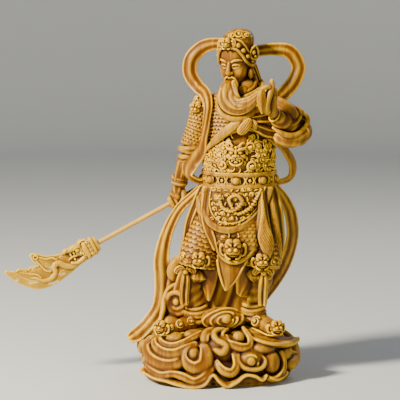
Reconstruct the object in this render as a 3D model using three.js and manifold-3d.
// A boxwood carving of a bearded warrior in court armour who stands on a cloud, with a
// long-handled glaive held behind the back. Millimetres, +Z up, the front faces -Y, and
// the origin is the middle of the flat underside. Three pieces: the figure with its cloud
// and ribbons is carved from one block, the shaft is a turned stick through the fist, and
// the blade with its collar is carved apart and glued on the shaft's end.

import * as THREE from "three";
import { LoftGeometry } from "three/addons/geometries/LoftGeometry.js";
import { mergeVertices } from "three/addons/utils/BufferGeometryUtils.js";
import Module from "manifold-3d";

const wasm = await Module();
wasm.setup();

// Driving dimensions
const FIGURE_HEIGHT = 256; // soles to the top of the cap
const CLOUD_WIDTH = 136;
const CLOUD_DEPTH = 104;
const CLOUD_HEIGHT = 44; // table to the soles
const SHAFT_DIAMETER = 4.2;
const SHAFT_BEHIND_HAND = 99; // from the middle of the fist to the butt
const SHAFT_BEFORE_HAND = 86; // from the middle of the fist to the end in the collar
const SHAFT_CLEARANCE = 0.3; // round the shaft, in the fist and in the collar
const SOCKET_DEPTH = 7;
const COLLAR_LENGTH = 13;
const COLLAR_WIDTH = 17;
const COLLAR_THICKNESS = 11;
const BLADE_LENGTH = 81; // from the collar's face to the tip
const BLADE_THICKNESS = 3.6;

const FINEST_FACET = 0.54; // facets that change the surface by less are merged

// The carver's grid: one unit is 1/256 of the figure's height, and the soles are at 44.
const unit = FIGURE_HEIGHT / 256;
const at = (x, y, z) => new THREE.Vector3(x * unit, y * unit, CLOUD_HEIGHT + (z - 44) * unit);

// The cloud's own grid: 136 by 104 by 44 units.
const cloudAt = (x, y, z) =>
  new THREE.Vector3((x * CLOUD_WIDTH) / 136, (y * CLOUD_DEPTH) / 104, (z * CLOUD_HEIGHT) / 44);

// A closed geometry as a solid. Faces that have shrunk to a line are dropped.
function solid(geometry) {
  const bare = new THREE.BufferGeometry();
  bare.setAttribute("position", geometry.getAttribute("position"));
  bare.setIndex(geometry.index);
  const merged = mergeVertices(bare, 1e-4);
  const kept = [];
  const index = merged.index.array;
  for (let i = 0; i < index.length; i += 3) {
    const [a, b, c] = [index[i], index[i + 1], index[i + 2]];
    if (a !== b && b !== c && c !== a) kept.push(a, b, c);
  }
  return new wasm.Manifold(
    new wasm.Mesh({
      numProp: 3,
      vertProperties: merged.attributes.position.array,
      triVerts: new Uint32Array(kept),
    }),
  );
}

const join = (solids) => wasm.Manifold.union(solids);

// Cross-sections, in half widths (a) and half thicknesses (b), counterclockwise.
const oval = (sides) =>
  Array.from({ length: sides }, (_, i) => {
    const angle = (2 * Math.PI * i) / sides;
    return [Math.cos(angle), Math.sin(angle)];
  });

const boxy = (sides) =>
  oval(sides).map(([a, b]) => {
    const bulge = Math.pow(Math.pow(Math.abs(a), 3) + Math.pow(Math.abs(b), 3), -1 / 3);
    return [a * bulge, b * bulge];
  });

// A ridge and a rounder roll whose backs are sunk in what they lie on.
const RIDGE = [[0, 1.1], [-1.1, -0.7], [1.1, -0.7]];
const ROLL = [[-0.5, 0.9], [-1.1, -0.6], [1.1, -0.6], [0.5, 0.9]];

// Cloth that lies on something: folds on the front and one point behind.
function fold(cells, waves, depth, phase = 0) {
  const across = Array.from({ length: cells + 1 }, (_, i) => 1 - (2 * i) / cells);
  return [...across.map((a) => [a, 1 + depth * Math.cos(Math.PI * waves * a + phase)]), [0, -1]];
}

// A strip of cloth seen from both sides: a wave runs across the width.
function pleat(cells, waves, depth, phase = 0) {
  const wave = (a) => depth * Math.cos(Math.PI * waves * a + phase);
  const across = Array.from({ length: cells - 1 }, (_, i) => -1 + (2 * (i + 1)) / cells);
  return [
    [-1, wave(-1)],
    ...across.map((a) => [a, wave(a) - 1]),
    [1, wave(1)],
    ...across.map((a) => [-a, wave(-a) + 1]),
  ];
}

const FRONT = [0, -1, 0];
const UP = [0, 0, 1];

// A section swept through stations [x, y, z, width, thickness, face], where face is the
// direction of the thickness and carries on from the station before if it is left out.
function sweep(stations, section, steps, place = at) {
  let facing = FRONT;
  const faces = stations.map((s) => new THREE.Vector3(...(facing = s[5] || facing)));
  const scale = place(1, 0, 0).distanceTo(place(0, 0, 0));
  const path = new THREE.CatmullRomCurve3(stations.map((s) => place(s[0], s[1], s[2])));
  const size = new THREE.CatmullRomCurve3(stations.map((s) => new THREE.Vector3(s[3], s[4], 0)));
  const face = new THREE.CatmullRomCurve3(faces);
  const rings = [];
  for (let i = 0; i <= steps; i += 1) {
    const t = i / steps;
    const tangent = path.getTangent(t);
    const across = face.getPoint(t);
    across.addScaledVector(tangent, -across.dot(tangent)).normalize();
    const side = new THREE.Vector3().crossVectors(tangent, across);
    const { x: width, y: thickness } = size.getPoint(t);
    const ring = (typeof section === "function" ? section(t) : section).map(([a, b]) =>
      path
        .getPoint(t)
        .addScaledVector(side, (a * width * scale) / 2)
        .addScaledVector(across, (b * thickness * scale) / 2),
    );
    rings.push(ring.reverse());
  }
  return solid(new LoftGeometry(rings, { capStart: true, capEnd: true }));
}

const rod = (stations, steps, sides = 6) => sweep(stations, oval(sides), steps);

// An egg, its three radii along its own axes, turned about Z and then about X.
function egg(centre, radii, turn = 0, tip = 0, sides = 8, place = at) {
  const scale = place(1, 0, 0).distanceTo(place(0, 0, 0));
  const geometry = new THREE.SphereGeometry(scale, sides, Math.max(2, Math.round(sides * 0.45)));
  geometry.rotateX(Math.PI / 2);
  geometry.scale(...radii);
  geometry.rotateX(THREE.MathUtils.degToRad(tip));
  geometry.rotateZ(THREE.MathUtils.degToRad(turn));
  const middle = place(...centre);
  geometry.translate(middle.x, middle.y, middle.z);
  return solid(geometry);
}

// A cloud curl: a ridged roll that winds inwards on a dish that backs it.
function curl(centre, facing, radius, thick, turns, startAngle, hand = 1) {
  const axis = new THREE.Vector3(...facing).normalize();
  const across = new THREE.Vector3(0, 0, 1).cross(axis).normalize();
  const upward = new THREE.Vector3().crossVectors(axis, across);
  const stations = [];
  const count = Math.round(turns * 6);
  for (let i = 0; i <= count; i += 1) {
    const share = i / count;
    const angle = THREE.MathUtils.degToRad(startAngle) + hand * share * turns * 2 * Math.PI;
    const reach = radius * (1 - 0.8 * share);
    const p = new THREE.Vector3(...centre)
      .addScaledVector(across, reach * Math.cos(angle))
      .addScaledVector(upward, reach * Math.sin(angle))
      .addScaledVector(axis, thick * 0.5 * share);
    const width = thick * (1.35 - 0.45 * share);
    stations.push([p.x, p.y, p.z, width, width, facing]);
  }
  const dish = new THREE.Vector3(...centre).addScaledVector(axis, -thick * 0.75);
  const yaw = THREE.MathUtils.radToDeg(Math.atan2(facing[0], -facing[1]));
  const pitch = THREE.MathUtils.radToDeg(Math.asin(axis.z));
  return join([
    sweep(stations, RIDGE, count, cloudAt),
    egg(dish.toArray(), [radius * 0.9, radius * 0.8, radius * 0.9], yaw, -pitch, 5, cloudAt),
  ]);
}

// The cloud: a lobed mound with a scalloped rim, curls and nested rolls.
function cloud() {
  const SIDES = 27;
  const SCALLOPS = 9;
  // [height, spread, how deep the scallops are]
  const levels = [
    [0, 0.95, 0.05],
    [5, 1.02, 0.06],
    [13, 0.94, 0.05],
    [36, 0.84, 0.02],
    [45, 0.6, 0],
  ];
  const rings = levels.map(([height, spread, scallop]) =>
    boxy(SIDES).map(([a, b]) => {
      const angle = Math.atan2(b, a);
      const reach = 0.97 * spread * (1 + scallop * Math.cos(SCALLOPS * angle + 0.6));
      const roundness = 0.93 + 0.07 * Math.cos(4 * angle);
      return cloudAt(a * 66 * reach * roundness, b * 50 * reach * roundness, height);
    }),
  );
  const mound = solid(new LoftGeometry(rings, { capStart: true, capEnd: true }));
  const roll = (stations, steps) => sweep(stations, ROLL, steps, cloudAt);
  return join([
    mound,
    // curls on the front
    curl([-21, -45, 24], [-0.15, -1, 0.25], 10, 6.5, 1.25, 60),
    curl([29, -45, 23], [0.2, -1, 0.3], 10, 6, 1.25, 120, -1),
    curl([17, -39, 40], [0.05, -1, 0.5], 8, 5, 1.1, 140, -1),
    curl([8, -24, 52], [0, -1, 0.7], 10, 5.5, 1.2, 200, -1),
    curl([-34, -34, 40], [-0.2, -1, 0.8], 8, 5.5, 1.1, 40),
    curl([-36, -8, 58], [-0.5, -1, 0.2], 8, 5.5, 1.1, 260, -1),
    // plainer curls round the sides and back
    curl([62, 14, 16], [1, -0.1, 0.25], 11, 8, 0.9, 90),
    curl([-60.5, 14, 16], [-1, -0.1, 0.25], 11, 8, 0.9, 90, -1),
    curl([-30, 45, 22], [-0.3, 1, 0.25], 13, 8, 0.9, 100),
    curl([28, 45, 24], [0.3, 1, 0.25], 13, 8, 0.9, 80, -1),
    // nested rolls round the toe on the left
    roll([[-60, -6, 33, 12, 12], [-60, -24, 25, 12, 12], [-49.5, -39, 15.4, 12, 12],
      [-34, -44.4, 10.6, 12, 11], [-20, -46, 10, 9, 9]], 7),
    roll([[-56, -20, 37, 9, 9], [-51, -34, 30, 9, 9], [-38, -42, 24, 9, 9],
      [-28, -43, 27, 7, 7]], 5),
    // folds down the middle
    roll([[-8, -30, 46, 10, 9], [-8, -41, 36, 9, 9], [2, -44, 29, 10, 9], [1, -45, 18, 10, 9],
      [-2, -47, 6, 8, 8]], 5),
    roll([[20, -34, 46, 8, 8], [8, -42, 34, 8, 8], [12, -46, 20, 9, 9], [14, -49, 9, 10, 8],
      [6, -50, 5, 6, 6]], 5),
    // the rim's drape
    roll([[-62, -18, 6.5, 9, 8], [-47, -38.5, 6.8, 9, 8], [-24, -49, 5.6, 9, 8], [-6, -50, 6.5, 9, 8],
      [8, -48, 9, 9, 8], [22, -48, 8, 9, 8], [40, -44, 7, 9, 8], [54, -34, 6.5, 9, 8]], 9),
    // eggs and a petal on the right
    egg([48, -33, 15], [10, 9, 11], 30, 0, 6, cloudAt),
    egg([40, -36, 29], [9, 8, 6], 30, 0, 6, cloudAt),
    sweep([[30, -20, 37, 26, 12, UP], [46, -22, 35.5, 34, 12], [60, -20, 33.5, 24, 9],
      [70, -18, 33, 8, 4]], oval(6), 4, cloudAt),
  ]);
}

// A boot whose shaft is bound with rolls at the ankle, with a snout on its toe.
function leg(shaft, [ankleX, ankleY, ankleZ], foot, snout) {
  const bound = [...shaft];
  for (const [drop, spread] of [[0, 17], [2.5, 20.5], [5, 18], [8, 22]]) {
    bound.push([ankleX, ankleY, ankleZ - drop, spread, spread]);
  }
  return join([
    rod(bound, bound.length - 1, 8),
    sweep(foot, boxy(6), 4),
    egg(snout, [5, 4.6, 3.6], 0, 0, 4),
  ]);
}

function legs() {
  return join([
    leg(
      [[-18, -14, 99, 18, 18], [-21, -12, 88, 20, 19], [-21, -10, 72, 18, 18]],
      [-18, -9, 60],
      [[-10, -3, 48, 12, 12, UP], [-17, -9, 49, 16, 15], [-30, -19, 47.5, 16, 11],
        [-42.5, -27, 45.5, 13, 8.5], [-50, -32, 45.5, 8, 7]],
      [-48.5, -31, 46.5],
    ),
    leg(
      [[40, -13, 99, 18, 18], [38, -11, 86, 19, 18], [35, -8, 74, 18, 17]],
      [31.5, -7, 62],
      [[24, -1, 51, 12, 12, UP], [31, -8, 51.5, 16, 15], [40.5, -18, 49, 16, 12],
        [48.5, -28, 46, 14, 10], [52.5, -33, 45.5, 9, 8]],
      [50.5, -32, 46.5],
    ),
  ]);
}

// A beast's mask, chin to horns. Each row is its rise, its half width and how far it
// stands out at the middle, halfway and at the edge, in shares of the mask's size.
const BEAST = [
  [-1, 0.35, 0.25, 0.2, 0],
  [-0.6, 0.75, 0.55, 0.5, 0.1],
  [-0.36, 0.9, 0.3, 0.55, 0.1],
  [0.02, 0.98, 0.85, 0.45, 0.1],
  [0.34, 1, 0.6, 0.24, 0.12],
  [0.6, 1.05, 0.55, 0.66, 0.3],
  [1, 0.75, 0.3, 0.12, 0.3],
];

function mask([x, y, z], size, turn) {
  const yaw = THREE.MathUtils.degToRad(turn);
  const rings = BEAST.map(([rise, half, middle, midway, edge]) =>
    [[-1, -0.5], [1, -0.5], [1, edge], [0.5, midway], [0, middle], [-0.5, midway], [-1, edge]].map(
      ([side, out]) =>
        at(x + size * (side * half * Math.cos(yaw) + out * Math.sin(yaw)),
          y + size * (side * half * Math.sin(yaw) - out * Math.cos(yaw)), z + size * rise),
    ).reverse(),
  );
  return solid(new LoftGeometry(rings, { capStart: true, capEnd: true }));
}

// Armour on the thighs: a plate in overlapping rows, with a mask over each knee.
function plateInRows(stations, rows) {
  const path = new THREE.CatmullRomCurve3(stations.map((s) => new THREE.Vector3(s[0], s[1], s[2])));
  const size = new THREE.CatmullRomCurve3(stations.map((s) => new THREE.Vector3(s[3], s[4], 0)));
  const stepped = [];
  for (let row = 0; row < rows; row += 1) {
    for (const [share, lift] of [[0.02, 0], [0.98, 2.4]]) {
      const t = (row + share) / rows;
      const [p, s] = [path.getPoint(t), size.getPoint(t)];
      stepped.push([p.x, p.y, p.z, s.x + lift, s.y + lift]);
    }
  }
  return sweep(stepped, oval(8), stepped.length - 1);
}

function tassets() {
  return join([
    plateInRows([[2, -10, 146, 26, 22], [-5, -16, 134, 29, 22], [-11, -18, 120, 31, 24],
      [-15, -19, 108, 31, 24], [-16.5, -19, 99, 30, 22]], 3),
    plateInRows([[36, -10, 146, 26, 22], [39, -15, 134, 27, 22], [40, -18, 120, 28, 22],
      [40, -19, 106, 29, 22], [39, -19, 99, 26, 20]], 3),
    mask([-18, -30, 106], 11, -20),
    mask([40, -28, 106], 10, 15),
  ]);
}

// The robe that falls behind the legs, in deep folds, down to the cloud.
function robe() {
  const SIDES = 24;
  const FOLDS = 8;
  // [height, middle x, middle y, half width, half depth, fold depth]
  const levels = [
    [42, -2, 12, 40, 24, 0.06],
    [66, 0, 12, 42, 22, 0.08],
    [90, 5, 11, 43, 20, 0.08],
    [108, 11, 10, 39.5, 19, 0.07],
    [136, 15.5, 7, 35.5, 18, 0.05],
    [150, 18, 5, 31, 18, 0.03],
    [164, 19, 3, 27, 17, 0],
  ];
  const rings = levels.map(([z, x, y, halfWidth, halfDepth, folds]) =>
    boxy(SIDES).map(([a, b]) => {
      const angle = Math.atan2(b, a);
      const reach = 1 + folds * Math.cos(FOLDS * angle);
      return at(x + a * halfWidth * reach, y + b * halfDepth * reach, z);
    }),
  );
  return solid(new LoftGeometry(rings, { capStart: true, capEnd: true }));
}

// Cloth that hangs from the belt over the front: tails, bib, mask and tongue.
const BIB_TOP = 168;
const BIB_DROP = 36;

function bib() {
  const STEPS = 4;
  // the middle of the bib at a share of its drop, where side runs from -1 to 1
  const middle = (t, side = 0) =>
    [18 - 9 * t + 27 * side, -26 - 5.5 * t + 7 * side * side, BIB_TOP - BIB_DROP * t];
  const rings = Array.from({ length: STEPS + 1 }, (_, i) => {
    const t = 0.985 - (0.985 * i) / STEPS;
    const half = Math.sqrt(1 - Math.pow(t, 2.6));
    return [1, 0.5, 0, -0.5, -1, 0].map((side, j) => {
      const [x, y, z] = middle(t, side * half);
      return at(x, y + (j === 5 ? 8 : -2), z);
    }).reverse();
  });
  const border = Array.from({ length: 10 }, (_, i) => {
    const side = -Math.cos((Math.PI * i) / 9);
    return [...middle(Math.pow(1 - side * side, 1 / 2.6), side), 5, 6];
  });
  return join([
    solid(new LoftGeometry(rings, { capStart: true, capEnd: true })),
    sweep(border, RIDGE, 9),
  ]);
}

function frontCloths() {
  const tail = (stations, waves, steps = 3) => sweep(stations, fold(2 * waves, waves, 0.5), steps);
  return join([
    bib(),
    // tails on the left of the bib
    tail([[-10, -12, 168, 10, 5, [-0.5, -1, 0]], [-15, -14, 152, 15, 6], [-21, -14, 136, 15, 6],
      [-25, -12, 118, 12, 5], [-29, -8, 104, 8, 4]], 2),
    tail([[-6, -22, 164, 10, 6, [-0.4, -1, 0]], [-7, -26, 146, 13, 6], [-4, -28, 132, 14, 6],
      [-2, -29, 120, 9, 4]], 2),
    // tails on the right
    tail([[44, -14, 168, 14, 6, [0.5, -1, 0]], [47, -18, 148, 17, 7], [49, -18, 126, 19, 7],
      [50, -14, 108, 16, 5], [50, -10, 94, 9, 4]], 2),
    tail([[38, -20, 166, 9, 6, [0.3, -1, 0]], [39, -26, 144, 14, 7], [43, -27, 122, 14, 6],
      [45, -27, 106, 3, 3]], 2),
    // the middle apron, its mask, and the pointed tongue
    sweep([[16, -22, 146, 44, 10, FRONT], [16, -25, 132, 42, 12], [16, -27, 118, 36, 12],
      [14, -28, 104, 30, 7], [9, -30, 92, 22, 4.5], [6, -31, 82, 4, 3]], fold(2, 1, 0.3), 5),
    mask([17, -31, 115], 12, -3),
    // hems of the robe over the shins
    tail([[-4, -18, 106, 22, 5, [-0.3, -1, 0]], [-3, -18, 94, 22, 5], [-3, -17, 80, 17, 4],
      [-8, -16, 66, 3, 3]], 1),
    tail([[32, -15, 108, 22, 5, [0.2, -1, 0]], [28, -15, 94, 26, 6], [24, -13, 80, 24, 5],
      [22, -11, 70, 10, 4]], 1),
  ]);
}

// The trunk, with the belly plate, the belt and its bosses, and the collar.
const WAIST = [19, -2.5]; // middle of the belt
const WAIST_HALF_WIDTH = 30;
const WAIST_HALF_DEPTH = 24;
const BELT_LOW = 167.5;
const BELT_HIGH = 179;
const BELT_RIM = 2.6; // how far the rims stand out
const RIM_HEIGHT = 3.2;

// A place on the belly: degrees round from the front, height, and how far it stands out.
function onBelly(angle, z, out) {
  const turn = THREE.MathUtils.degToRad(angle);
  return [
    WAIST[0] + (WAIST_HALF_WIDTH + out) * Math.sin(turn),
    WAIST[1] - (WAIST_HALF_DEPTH + out) * Math.cos(turn),
    z,
  ];
}

function trunk() {
  // [height, middle x, middle y, half width, half depth]
  const rim = (low, high) =>
    [[low, 0], [(low + high) / 2, BELT_RIM], [high, 0]].map(([z, out]) => [z, ...WAIST,
      WAIST_HALF_WIDTH + out, WAIST_HALF_DEPTH + out]);
  const levels = [
    [158, 19, -1, 27, 20],
    ...rim(BELT_LOW, BELT_LOW + RIM_HEIGHT),
    ...rim(BELT_HIGH - RIM_HEIGHT, BELT_HIGH),
    [188, 19, -3, 30.5, 24.5],
    [206, 18.5, -2, 28.5, 21],
    [220, 19, -1, 31, 19],
    [231, 20, 0, 35, 17],
    [240, 21, 1, 33, 14],
    [246, 20, 1, 14, 12],
  ];
  const rings = levels.map(([z, x, y, halfWidth, halfDepth]) =>
    oval(16).map(([a, b]) => at(x + a * halfWidth, y + b * halfDepth, z)),
  );
  const parts = [solid(new LoftGeometry(rings, { capStart: true, capEnd: true }))];
  for (const angle of [-52, -6, 34, 80]) {
    parts.push(egg(onBelly(angle, (BELT_LOW + BELT_HIGH) / 2, 0), [4, 3.2, 3.6], angle, 0, 5));
  }
  parts.push(mask([15, -27, 193], 13, -6));
  // scrolls of cloud beside the belly mask: [degrees round, height, first angle, hand]
  for (const [angle, z, tilt, hand] of [[-45, 190, 20, 1], [38, 190, -20, -1]]) {
    const stations = [];
    for (let i = 0; i <= 5; i += 1) {
      const wind = THREE.MathUtils.degToRad(tilt + hand * i * 65);
      const reach = 7 - 1.1 * i;
      const round = angle + THREE.MathUtils.radToDeg((reach * Math.cos(wind)) / WAIST_HALF_WIDTH);
      const facing = [Math.sin(THREE.MathUtils.degToRad(round)), -1, 0];
      stations.push([...onBelly(round, z + reach * Math.sin(wind), -0.8), 4.2, 4.2, facing]);
    }
    parts.push(sweep(stations, RIDGE, 5));
  }
  // the shawl collar, the slanting lapel and the knot on the chest
  parts.push(
    rod([[-4, -8, 243, 5, 5], [1, -18, 232, 6, 5], [10, -23, 224, 6, 5], [20, -25, 223, 6, 5],
      [31, -23, 229, 6, 5], [40, -14, 238, 5, 5]], 6, 4),
    sweep([[-8, -15, 203, 4, 3], [0, -21, 212, 9, 4], [10, -24, 218, 12, 4], [21, -24, 222, 8, 5]],
      boxy(6), 3),
    sweep([[44, -15, 214, 5, 4], [34, -21, 216, 9, 5], [23, -24, 221, 7, 5]], boxy(6), 2),
    egg([22, -26, 219], [6, 4, 5], 0, 0, 5),
    rod([[22, -27, 220, 5, 4], [18, -28, 213, 7, 4], [15, -27, 208, 2, 2]], 2, 4),
  );
  return join(parts);
}

// The arm on the viewer's left: scaled upper arm, beast on the shoulder, fist on the shaft.
const HAND = [-34.6, 12, 152]; // middle of the fist, where the shaft passes
const SHAFT_LEAN = new THREE.Vector3(0.867, 0.21, 0.452).normalize(); // towards the butt

function gripArm() {
  const parts = [
    rod([[-4, 0, 240, 18, 18], [-12, -1, 230, 20, 19], [-16, -1, 216, 19.5, 19],
      [-20.5, 0, 204, 18, 18], [-22, 0, 200, 22, 21], [-24, 1, 194, 20.5, 20.5],
      [-26.5, 2, 189, 15, 15]], 6, 8),
    rod([[-25.5, 2, 192, 15, 15], [-29, 5, 180, 14, 14], [-31, 7, 174, 12, 12],
      [-31.5, 8, 171.5, 14.5, 14.5], [-32.2, 9, 167.5, 14.5, 14.5], [-33, 9.6, 164.5, 11, 11],
      [-34.3, 10, 158, 10, 10]], 6, 7),
    mask([-14.8, -6, 234.3], 9, -35),
    egg([-34, 11, 156], [7, 6.5, 7.5], 0, 0, 6),
  ];
  // four fingers bent round the shaft, and the thumb over them
  const across = new THREE.Vector3(0, -1, 0).addScaledVector(SHAFT_LEAN, SHAFT_LEAN.y).normalize();
  const upward = new THREE.Vector3().crossVectors(across, SHAFT_LEAN).normalize();
  if (upward.z < 0) upward.negate();
  for (let finger = 0; finger < 4; finger += 1) {
    const along = (finger - 1.5) * 3.7;
    const stations = [];
    for (let angle = 60; angle >= -165; angle -= 75) {
      const turn = THREE.MathUtils.degToRad(angle);
      const p = new THREE.Vector3(...HAND)
        .addScaledVector(SHAFT_LEAN, along)
        .addScaledVector(across, 5 * Math.cos(turn))
        .addScaledVector(upward, 5 * Math.sin(turn));
      stations.push([p.x, p.y, p.z, 4.3, 4.3, SHAFT_LEAN.toArray()]);
    }
    parts.push(rod(stations, 3, 4));
  }
  parts.push(rod([[-29.5, 8, 160, 5, 5], [-28.5, 4, 155, 4.6, 4.6], [-30.5, 3, 150, 3.6, 3.6]], 2, 4));
  return join(parts);
}

// The arm on the viewer's right: a wide open sleeve, and a hand that lifts the beard.
function beardArm() {
  const sleeve = sweep([[42, 1, 236, 23, 19, [0, 0.2, 1]], [53, 0, 231.5, 24, 20],
    [62.5, -2, 223.5, 25, 24], [68.5, -8, 215.5, 27, 28],
    [64, -17, 211, 34, 24, [0.2, 0.5, 0.8]], [60, -24, 209, 38, 19]], oval(9), 5);
  const bag = egg([70, -4, 209.5], [11, 11, 10.5], 20, 0, 7);
  const mouth = egg([57, -30, 211], [16, 12, 7.5], 14, -18, 9);
  const lip = rod([[44, -23, 207, 3.5, 3.5], [54, -29, 203, 3.5, 3.5], [68, -25, 205, 3.5, 3.5],
    [78, -17, 213, 3.5, 3.5], [77, -13, 222, 3.5, 3.5], [70, -17, 223, 4, 4], [64, -21, 218, 4, 4],
    [56, -23, 217, 4, 4], [49, -22, 220, 4, 4]], 9, 3);
  const forearm = rod([[68, -10, 214, 17, 17], [58, -20, 219, 16, 16], [50, -28, 224, 13, 13],
    [46, -32, 228, 11, 11]], 3, 7);
  const fingers = [
    egg([43.5, -35, 236], [5, 4.4, 8.5], 0, 0, 6),
    rod([[44, -37, 241, 5, 5], [45.5, -37.5, 251, 4.4, 4.4], [44, -37, 260, 2.6, 2.6]], 2, 4),
    rod([[46, -34, 241, 4.5, 4.5], [45, -37, 250, 4.4, 4.4], [39, -40, 250.5, 4, 4],
      [34, -40.5, 248.5, 2.8, 2.8]], 3, 4),
    rod([[42, -36, 230, 5.5, 5.5], [37, -39, 238, 5, 5], [35, -40, 246, 4, 4],
      [35, -40, 249, 2.6, 2.6]], 3, 4),
    rod([[44, -38, 250, 4, 4], [41, -41, 242, 5.4, 5], [37, -41.5, 233, 4.6, 4.4],
      [36, -40, 229, 3, 3]], 3, 4),
  ];
  return join([sleeve.subtract(mouth), bag.subtract(mouth), lip, forearm, ...fingers]);
}

// The head, turned to the viewer's left. Places in it are [side, rise, out] from its middle.
const HEAD = new THREE.Vector3(17, -5, 266);
const HEAD_TURN = 30;
const HEAD_NOD = 8;
const headSide = new THREE.Vector3(1, 0, 0);
const headUp = new THREE.Vector3(0, 0, 1);
const headOut = new THREE.Vector3(0, -1, 0);
for (const direction of [headSide, headUp, headOut]) {
  direction.applyAxisAngle(new THREE.Vector3(1, 0, 0), THREE.MathUtils.degToRad(HEAD_NOD));
  direction.applyAxisAngle(new THREE.Vector3(0, 0, 1), THREE.MathUtils.degToRad(-HEAD_TURN));
}
function inHead(side, rise, out) {
  return HEAD.clone()
    .addScaledVector(headSide, side)
    .addScaledVector(headUp, rise)
    .addScaledVector(headOut, out)
    .toArray();
}
const headLump = (place, radii, sides = 8) =>
  egg(inHead(...place), radii, -HEAD_TURN, HEAD_NOD, sides);
const headRod = (stations, steps, sides = 6) =>
  rod(stations.map(([s, r, o, w, t]) => [...inHead(s, r, o), w, t, headOut.toArray()]), steps, sides);

function head() {
  const parts = [
    headLump([0, 3, 0], [12.5, 13.5, 15.5], 11), // skull
    headLump([0, -6, 3.5], [9.5, 9, 10], 8), // jaw
    headRod([[0, 7.5, 13, 3, 3], [0, 2.5, 15.2, 3.6, 4], [0, -1, 16.4, 5.4, 4.4],
      [0, -3, 13.5, 4.5, 3]], 3, 4), // nose
    headRod([[-3, -7.6, 12.8, 3, 3], [3, -7.6, 12.8, 3, 3]], 1, 4), // lower lip
  ];
  for (const s of [-1, 1]) {
    parts.push(
      headLump([s * 5, 5, 11], [2.9, 2.2, 1.8], 5), // eye
      headRod([[s * 1.8, 8.2, 13.4, 2.4, 2.2], [s * 9.5, 8.6, 9.4, 2.4, 2]], 1, 4), // brow
      headLump([s * 12.2, -1, -1.5], [2, 3, 5.5], 5), // ear
      headRod([[s * 0.7, -4.8, 13.3, 3, 3], [s * 4, -7, 12.8, 3.6, 3.2], [s * 7, -14, 11, 3.4, 3],
        [s * 8, -24, 10, 2, 2]], 3, 4), // moustache
    );
  }
  return join(parts);
}

// The cap: a soft crown that leans back, a band of beads, a beast over the brow and lappets.
function cap() {
  // [rise, side, out, half width, half depth]
  const levels = [
    [8, 0, -4, 13.6, 12.5],
    [12.5, 0, -0.8, 14.6, 15.8],
    [14.3, 0, -0.6, 15.6, 16.8],
    [16, 0, -1, 14.4, 15.4],
    [20, 0.4, -1.2, 14.4, 15],
    [21.4, 0.4, -1, 15.2, 16],
    [27, 1.6, -3, 12.8, 13],
    [30.8, 1.6, -5.6, 9.4, 10],
    [33, 1.6, -6.6, 4.6, 5],
  ];
  const rings = levels.map(([rise, side, out, halfWidth, halfDepth]) =>
    oval(11).map(([a, b]) => at(...inHead(side + a * halfWidth, rise, out - b * halfDepth))),
  );
  const parts = [
    solid(new LoftGeometry(rings, { capStart: true, capEnd: true })),
    headLump([0, 2, -6], [13.2, 10, 13], 8), // hair and cloth behind the ears
    mask(inHead(0, 20, 13), 7.5, -HEAD_TURN),
  ];
  for (const s of [-1, 1]) {
    parts.push(
      headLump([s * 14, 8, -1.5], [2.6, 6.5, 10], 8),
      headRod([[s * 15.4, 13, -3, 3, 3], [s * 16.2, 17, -3.5, 4.6, 4.6],
        [s * 15, 21, -4, 1.8, 1.8]], 2, 4),
    );
  }
  // the neck guard that falls to the shoulders behind
  parts.push(sweep([[...inHead(0, 6, -9), 20, 12, [0.5, 0.87, 0]], [24.5, 6, 260, 27, 10],
    [24.5, 9, 249, 38, 9], [21, 13, 237, 46, 6]], fold(4, 2, 0.3), 3));
  return join(parts);
}

// The beard: it falls from the jaw, sweeps to the viewer's right and ends in the hand.
function beard() {
  return join([
    sweep([[10, -15, 259, 9, 9, FRONT], [9, -19, 250, 16, 12], [10, -23.5, 239, 19, 11],
      [16, -28, 233, 17, 9.5], [24.5, -32, 236.5, 13, 8], [31, -36.5, 243, 7.5, 6],
      [35, -40, 248.5, 4, 4]],
      fold(4, 2, 0.25), 8),
    sweep([[35, -41, 249, 3, 3, FRONT], [33.5, -41.5, 241, 6.4, 4.4], [34, -41, 232, 5.2, 3.6],
      [35, -40.5, 225, 1, 1]], oval(5), 3),
  ]);
}

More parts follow.
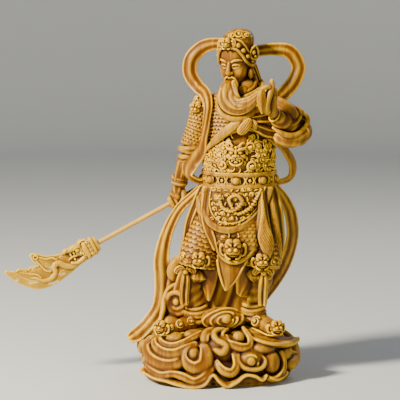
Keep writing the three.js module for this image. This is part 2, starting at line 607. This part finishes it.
// The long ribbons: a loop each side of the head, down past the elbows to the belt, then
// out and down to the cloud.
function ribbons() {
  const cloth = pleat(3, 1.5, 0.5);
  const smooth = pleat(2, 1, 0.4);
  const WIDE = 12.5;
  const THICK = 3.2;
  const band = (stations, steps, section = cloth) =>
    sweep(stations.map(([x, y, z, face, width = WIDE]) => [x, y, z, width, THICK, face]), section, steps);
  const OUT = [0, -1, 0.1];
  return join([
    // loop beside the head, viewer's left, on over the shoulder
    band([[14, 8, 284, OUT, 10], [1, 9, 287, OUT, 10], [-11, 10, 284.5, OUT, 12],
      [-21.7, 10, 274.5, OUT], [-23.2, 9, 262, OUT], [-16.5, 6, 251, OUT, 11],
      [-9.5, -4, 244.6, [-0.3, -1, 0.5], 10],
      [-6.8, -12.6, 235.6, [-0.3, -1, 0.2], 8]], 15),
    // down past the arm and back to the belt, edge on
    band([[-6, -13, 240, [-0.3, -1, 0], 8], [-6, -18, 226, [-0.4, -1, 0], 7],
      [-7, -15, 212, [-0.9, -0.6, 0], 11], [-14, -10, 199, [-0.8, -0.6, -0.4], 15],
      [-23, -7, 186, [-0.8, -0.6, -0.6], 16], [-25, -6, 175, [-0.6, -0.4, -1], 14],
      [-17, -5, 170.5, [0, -0.4, -1], 12], [-6, -4, 171.5, [0, -0.3, -1], 10]], 12, smooth),
    // loop on the viewer's right
    band([[26, 8, 280, OUT, 10], [36, 9, 281, OUT, 10], [49, 10, 282.2, OUT, 11], [62, 10, 280, OUT],
      [69.7, 10, 268, OUT], [66.3, 8, 255.5, OUT], [58, 5, 245.5, OUT],
      [49, -3, 238, [0.2, -1, 0.3], 11], [45, -12, 229, [0.2, -1, 0], 9]], 15),
    band([[44, -10, 224, [0.5, -1, 0], 8], [48.5, -7, 209, [0.9, -0.7, 0.2], 8],
      [58.5, -3, 197, [0.9, -0.7, 0.3], 9], [65.3, 0, 183.5, [0.9, -0.6, 0], 10.5],
      [63.5, 0, 173, [0.6, -0.5, -0.8], 10], [54, -1, 168.8, [0.2, -0.5, -1], 9],
      [44, -2, 170, [0, -0.3, -1], 8]], 11, smooth),
    // tails out from the belt and down to the cloud
    band([[-8, -6, 170, [-0.7, -1, 0.2], 8], [-21, -2, 157, [-0.6, -1, 0.2], 9],
      [-32, 1, 146, [-0.6, -1, 0.2], 10], [-40, 2, 132, [-0.5, -1, 0.1], 11],
      [-45.5, 4, 116, [-0.3, -1, 0], 12.5], [-48, 6, 100, [-0.2, -1, 0], 14.5],
      [-47.5, 8, 84, [-0.2, -1, 0], 15], [-48, 8, 69, [-0.2, -1, 0], 14],
      [-51, 8, 56, [-0.3, -1, 0.2], 14], [-59.5, 6, 44, [-0.3, -1, 0.6], 14.5],
      [-69, 4, 34.5, [0, -0.8, 1], 12], [-76.5, 2, 29.5, [0, -0.8, 1], 6]], 15),
    band([[46, -6, 169, [0.6, -1, 0.2], 8], [56.5, 0, 156, [0.6, -1, 0], 10],
      [63.2, 4, 142, [0.5, -1, 0], 12], [65.8, 7, 125, [0.5, -1, 0], 12.6],
      [63.9, 10, 109, [0.5, -1, 0], 12.4], [58, 14, 92, [0.6, -1, 0], 13.5],
      [49, 17, 77, [0.6, -1, 0], 14], [40, 18, 65, [0.6, -1, 0], 14],
      [31, 18, 52, [0.5, -1, 0.2], 12]], 12, smooth),
  ]);
}

// The glaive's own frame: X along the shaft to the tip, Y up across the blade, Z to its face.
const shaftPoint = (along) => at(...HAND).addScaledVector(SHAFT_LEAN, -along);
const bladeFrame = new THREE.Matrix4();
{
  const forward = SHAFT_LEAN.clone().negate();
  const face = new THREE.Vector3(0, -1, 0).addScaledVector(forward, forward.y).normalize();
  const rise = new THREE.Vector3().crossVectors(forward, face).normalize();
  bladeFrame.makeBasis(forward, rise, face.clone().negate());
}

function shaftRod(radius, from, to, sides) {
  const geometry = new THREE.CylinderGeometry(radius, radius, to - from, sides);
  geometry.rotateZ(Math.PI / 2);
  geometry.translate((from + to) / 2, 0, 0);
  geometry.applyMatrix4(bladeFrame);
  const grip = at(...HAND);
  geometry.translate(grip.x, grip.y, grip.z);
  return geometry;
}

const SHAFT_SIDES = 12;
const shaft = () => shaftRod(SHAFT_DIAMETER / 2, -SHAFT_BEHIND_HAND, SHAFT_BEFORE_HAND, SHAFT_SIDES);
const shaftHole = () => {
  const radius = (SHAFT_DIAMETER / 2 + SHAFT_CLEARANCE) / Math.cos(Math.PI / SHAFT_SIDES);
  const past = SHAFT_CLEARANCE;
  return solid(shaftRod(radius, -SHAFT_BEHIND_HAND - past, SHAFT_BEFORE_HAND + past, SHAFT_SIDES));
};

// The blade: a crescent with a hooked, ragged back, and a dragon that comes out of the collar.
function blade() {
  const l = BLADE_LENGTH / 81;
  // from the collar along the cutting edge to the tip, then back along the ragged back
  const outline = new THREE.Shape(
    [[8, -8.5], [20.7, -9.4], [31, -11.5], [42.5, -13.5], [53.6, -13.4], [61.5, -11.3], [68.6, -6.5],
      [74.8, 1.2], [79.3, 8.6], [81, 16.4], [78.4, 16.8], [75, 14.3], [72.3, 12.8], [69.1, 13.2],
      [62.8, 9.4], [59.6, 10.2], [53.4, 8.8], [56.2, 12.5], [56.4, 17.5], [54.6, 19.6], [51.8, 19],
      [48.7, 16.6], [43.7, 12.1], [37.7, 9.3], [30.7, 7.2], [8, 8.5]].map(
      ([x, y]) => new THREE.Vector2(x * l, y * l),
    ),
  );
  const plate = new THREE.ExtrudeGeometry(outline, {
    depth: BLADE_THICKNESS * 0.4,
    bevelEnabled: true,
    bevelThickness: BLADE_THICKNESS * 0.3,
    bevelSize: BLADE_THICKNESS * 0.3,
    bevelOffset: -BLADE_THICKNESS * 0.3,
    bevelSegments: 1,
  });
  plate.translate(0, 0, -BLADE_THICKNESS * 0.2);
  const local = (x, y, z) => new THREE.Vector3(x, y, z);
  const FACE = [0, 0, 1];
  const parts = [solid(plate)];
  for (const s of [-1, 1]) {
    const lift = (s * BLADE_THICKNESS) / 2;
    parts.push(
      // the beast's head whose mouth the blade leaves, and the flame on the blade
      sweep([[12 * l, 2 * l, lift * 0.8, 13, 7, FACE], [18 * l, 3 * l, lift, 11, 7],
        [24 * l, 4 * l, lift, 7, 5.5], [31 * l, 4.6 * l, lift, 2.5, 2.5]], oval(5), 3, local),
      sweep([[17 * l, -4 * l, lift, 6, 4.4, FACE], [27 * l, -7 * l, lift, 4, 3.4],
        [35 * l, -2 * l, lift, 4.4, 3.6], [40 * l, 1 * l, lift, 5, 4], [43 * l, -5 * l, lift, 4.4, 3.6],
        [50 * l, -9 * l, lift, 3.6, 3], [60 * l, -4 * l, lift, 2.4, 2]], oval(4), 7, local),
    );
  }
  const collarStations = [[0, 0.72], [2.6, 0.8], [3, 1], [10, 1.08], [13, 0.9]];
  const collar = collarStations.map(([along, spread]) =>
    boxy(10)
      .map(([a, b]) => local((along * COLLAR_LENGTH) / 13, (a * COLLAR_WIDTH * spread) / 2,
        (b * COLLAR_THICKNESS * spread) / 2)),
  );
  parts.push(solid(new LoftGeometry(collar, { capStart: true, capEnd: true })));
  const origin = shaftPoint(SHAFT_BEFORE_HAND - SOCKET_DEPTH);
  const matrix = new THREE.Matrix4().makeTranslation(origin.x, origin.y, origin.z).multiply(bladeFrame);
  return join(parts).transform(matrix.toArray()).subtract(shaftHole());
}

// A solid back as a geometry that three.js can draw.
function geometryOf(made) {
  const mesh = made.getMesh();
  const geometry = new THREE.BufferGeometry();
  geometry.setAttribute("position", new THREE.BufferAttribute(mesh.vertProperties, mesh.numProp));
  geometry.setIndex(new THREE.BufferAttribute(mesh.triVerts, 1));
  geometry.computeVertexNormals();
  return geometry;
}

const boxwood = new THREE.MeshStandardMaterial({ color: 0xd9a441, roughness: 0.55, metalness: 0 });
const paleWood = new THREE.MeshStandardMaterial({ color: 0xe2b765, roughness: 0.5, metalness: 0 });
const bladeWood = new THREE.MeshStandardMaterial({ color: 0xdcb043, roughness: 0.5, metalness: 0 });

// The largest body of a solid, without the slivers that cuts leave.
const largestOf = (made) => made.decompose().reduce((a, b) => (b.volume() > a.volume() ? b : a));

const figure = join([
  cloud(), robe(), legs(), tassets(), frontCloths(), trunk(), gripArm(), beardArm(), head(), cap(), beard(),
  ribbons(),
])
  .asOriginal()
  .simplify(FINEST_FACET)
  .subtract(shaftHole());

const statue = new THREE.Group();
const addPiece = (name, geometry, material) => {
  const mesh = new THREE.Mesh(geometry, material);
  mesh.name = name;
  statue.add(mesh);
};
addPiece("figure_on_cloud", geometryOf(largestOf(figure)), boxwood);
addPiece("glaive_shaft", shaft(), paleWood);
addPiece("glaive_blade", geometryOf(largestOf(blade())), bladeWood);

export default statue;
